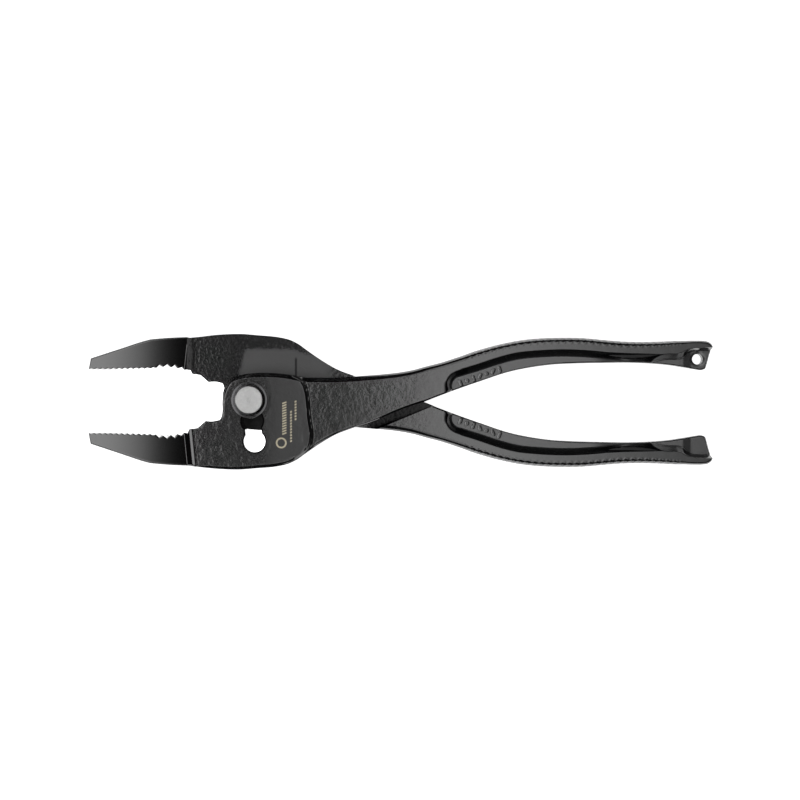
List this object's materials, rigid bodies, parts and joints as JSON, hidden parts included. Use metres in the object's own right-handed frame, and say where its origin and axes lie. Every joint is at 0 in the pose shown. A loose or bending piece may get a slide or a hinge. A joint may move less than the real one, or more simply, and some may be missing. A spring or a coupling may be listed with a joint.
{
  "type": "slip-joint pliers",
  "caption": "Forged slip-joint pliers: lapped levers with toothed jaws, an adjusting slot on a bright pivot bolt, and knurled handles, one with a hanging eye.",
  "frame": {"origin": "on the pivot axis, at the level that the tool rests on, which is the end face of the bolt's tail", "axes": "+X towards the handles, with the jaws at -X; +Z along the pivot axis towards the bolt's head; +Y towards the handle that has the hanging eye"},
  "size_m": [0.2053, 0.0442, 0.0137],
  "materials": {
    "forged_black": "black oxide over a forged surface, satin with ground jaw faces",
    "bolt_steel": "turned and bright",
    "nut_steel": "dark oiled steel"
  },
  "bodies": {
    "rear_lever": {"rear_lever": "forged_black"},
    "pivot": {"pivot_bolt": "bolt_steel", "pivot_nut": "nut_steel"},
    "front_lever": {"front_lever": "forged_black"}
  },
  "joints": [
    {"name": "jaw_pivot", "type": "hinge", "parent": "rear_lever", "child": "pivot", "pos_m": [0, 0, 0.0055], "axis": [0, 0, 1], "range_deg": [-2, 60]},
    {"name": "slip", "type": "slide", "parent": "pivot", "child": "front_lever", "axis": [-0.1063, 0.9943, 0], "range_m": [0, 0.0137]}
  ]
}
